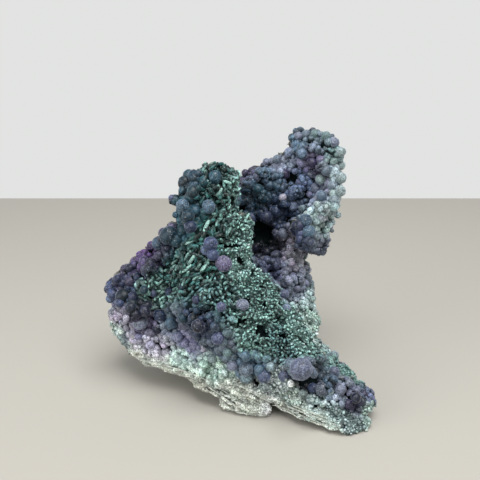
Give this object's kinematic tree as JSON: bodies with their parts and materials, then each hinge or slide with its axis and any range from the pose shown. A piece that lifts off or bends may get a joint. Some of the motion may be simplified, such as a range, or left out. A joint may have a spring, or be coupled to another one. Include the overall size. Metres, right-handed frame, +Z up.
{
  "type": "grape agate specimen",
  "caption": "Free-standing botryoidal chalcedony cluster with a horn, a tall tower and a hollow between them, resting on its own broken base.",
  "frame": {"origin": "middle of the specimen's footprint box, on the surface that it rests on", "axes": "+Z up, -Y towards the grown side that the picture shows, +X along the base from the shoulder to the tail"},
  "size_m": [0.1054, 0.0794, 0.0982],
  "materials": {
    "chalcedony": "waxy botryoidal purple and blue-green chalcedony, fading to pale mint and off-white at the broken rim"
  },
  "bodies": {
    "root": {"grape_agate": "chalcedony"}
  },
  "joints": []
}
